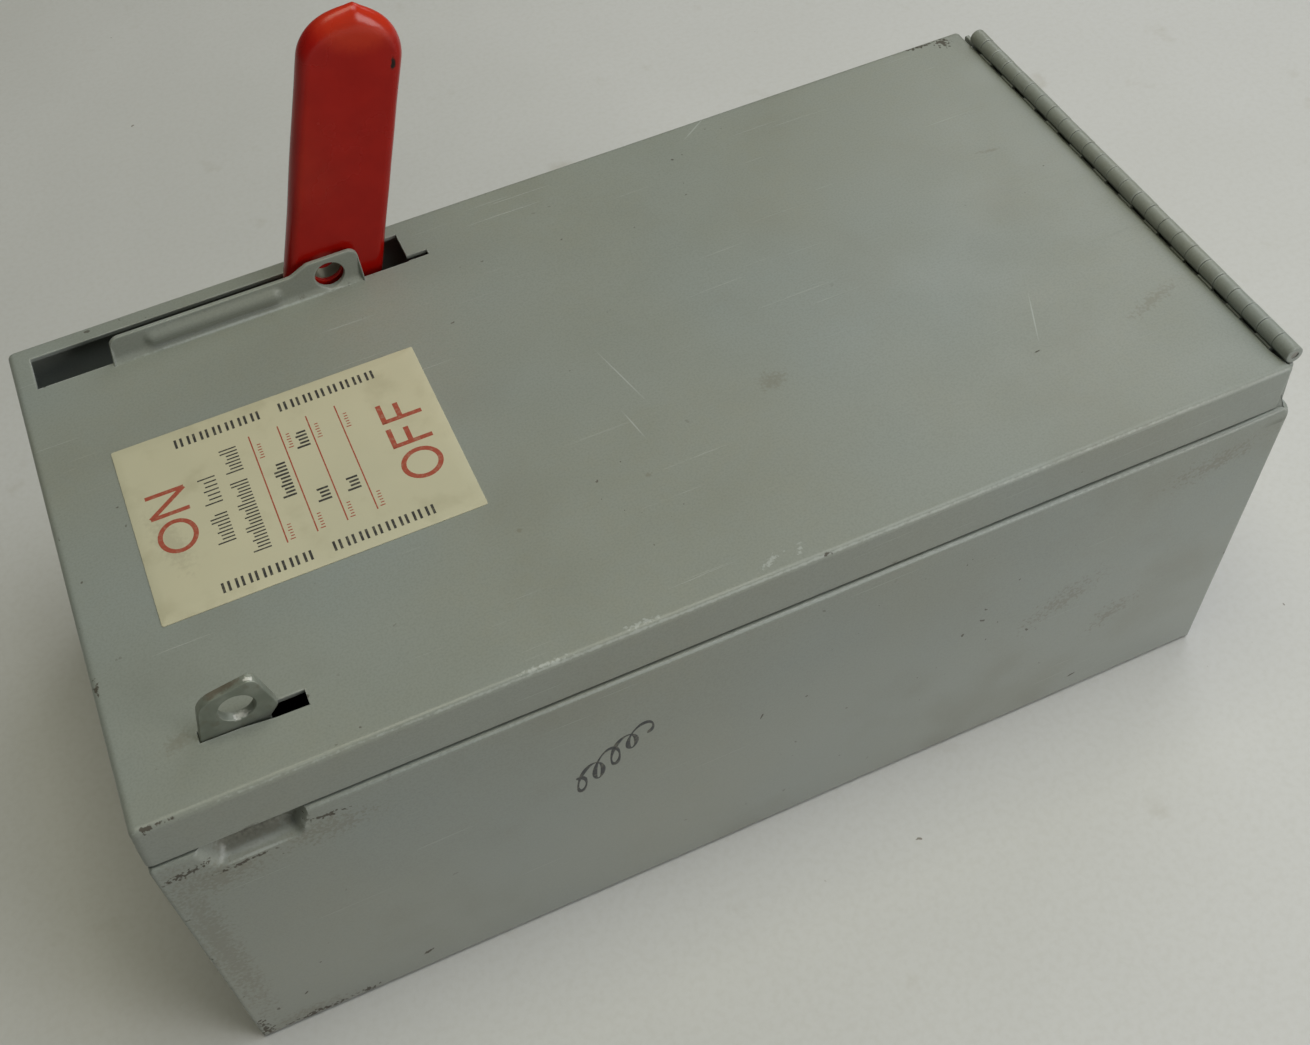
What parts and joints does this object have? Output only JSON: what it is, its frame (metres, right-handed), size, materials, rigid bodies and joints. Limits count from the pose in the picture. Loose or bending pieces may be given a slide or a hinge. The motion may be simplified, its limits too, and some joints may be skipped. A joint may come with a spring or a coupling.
{
  "type": "lever-operated fused isolator switch unit",
  "caption": "Sheet steel switch unit with a hinged door, side lever handle with red sleeve, lock tabs, knife-blade rotor and cartridge fuses inside.",
  "frame": {"origin": "centre of the back face of the case", "axes": "+Z out through the door, +X towards the door hinge, +Y towards the handle"},
  "size_m": [0.345, 0.187, 0.2193],
  "materials": {
    "case_paint": "semi-gloss",
    "door_paint": "semi-gloss",
    "hinge_paint": "semi-gloss",
    "hinge_steel": "plain",
    "label_card": "satin",
    "chart_paper": "matt",
    "red_vinyl": "gloss",
    "lever_steel": "plain",
    "plated_steel": "zinc plated",
    "mechanism_steel": "zinc plated",
    "spring_steel": "oiled",
    "screw_steel": "zinc plated",
    "stop_rubber": "matt",
    "copper": "satin copper",
    "pin_brass": "satin",
    "black_phenolic": "moulded",
    "chute_fibre": "pressed fibre",
    "splitter_steel": "plated",
    "liner_fibre": "pressed fibre",
    "fuse_fibre": "wound tube",
    "ferrule_brass": "bright",
    "lug_aluminium": "satin"
  },
  "bodies": {
    "housing": {"housing_pan": "case_paint", "body_hinge_leaf": "hinge_paint", "hinge_pin": "hinge_steel", "latch_bracket": "plated_steel", "latch_rivets": "plated_steel", "mechanism_bracket": "plated_steel", "pivot_pin": "mechanism_steel", "pivot_rings": "mechanism_steel", "pivot_spacers": "mechanism_steel", "stop_pins": "mechanism_steel", "bracket_rivets": "mechanism_steel", "latch_spring": "spring_steel", "jaw_springs": "spring_steel", "clip_springs": "spring_steel", "base_screws": "screw_steel", "lug_screws": "screw_steel", "ground_screws": "screw_steel", "line_nuts": "screw_steel", "stop_bumpers": "stop_rubber", "line_jaws": "copper", "line_straps": "copper", "hinge_contacts": "copper", "load_straps": "copper", "fuse_clips": "copper", "blade_hinge_pins": "pin_brass", "switch_base": "black_phenolic", "fuse_block": "black_phenolic", "arc_chute_frames": "chute_fibre", "arc_splitter_plates": "splitter_steel", "line_shield": "liner_fibre", "insulating_liner": "liner_fibre", "fuse_tubes": "fuse_fibre", "fuse_ferrules": "ferrule_brass", "load_lugs": "lug_aluminium", "ground_bar": "lug_aluminium"},
    "door": {"door_panel": "door_paint", "door_hinge_leaf": "hinge_paint", "nameplate": "label_card", "fuse_chart_label": "chart_paper", "interlock_catch": "plated_steel"},
    "handle": {"handle_lever": "lever_steel", "handle_grip": "red_vinyl", "lever_crank_pin": "mechanism_steel", "interlock_pin": "mechanism_steel", "lever_spring": "spring_steel"},
    "link": {"drive_link": "mechanism_steel"},
    "rotor": {"knife_blades": "copper", "blade_crossbar": "black_phenolic", "rotor_crank": "mechanism_steel", "rotor_crank_pin": "mechanism_steel", "rotor_clip": "mechanism_steel", "crank_screws": "screw_steel", "blade_set_screws": "screw_steel"},
    "latch": {"door_latch": "plated_steel"}
  },
  "joints": [
    {"name": "door_hinge", "type": "hinge", "parent": "housing", "child": "door", "pos_m": [0.1722, 0, 0.1299], "axis": [0, 1, 0], "range_deg": [0, 115]},
    {"name": "handle_swing", "type": "hinge", "parent": "housing", "child": "handle", "pos_m": [-0.1024, 0.08, 0.0153], "axis": [0, 1, 0], "range_deg": [-37, 0]},
    {"name": "rotor_swing", "type": "hinge", "parent": "housing", "child": "rotor", "pos_m": [-0.0524, 0, 0.0333], "axis": [0, 1, 0], "range_deg": [-37, 0]},
    {"name": "link_swing", "type": "hinge", "parent": "handle", "child": "link", "pos_m": [-0.09471, 0.0735, 0.04014], "axis": [0, 1, 0], "range_deg": [0, 37]},
    {"name": "latch_slide", "type": "slide", "parent": "housing", "child": "latch", "axis": [1, 0, 0], "range_m": [0, 0.0098]}
  ],
  "couplings": [
    {"joint": "rotor_swing", "follows": "handle_swing", "ratio": 1},
    {"joint": "link_swing", "follows": "handle_swing", "ratio": -1}
  ]
}
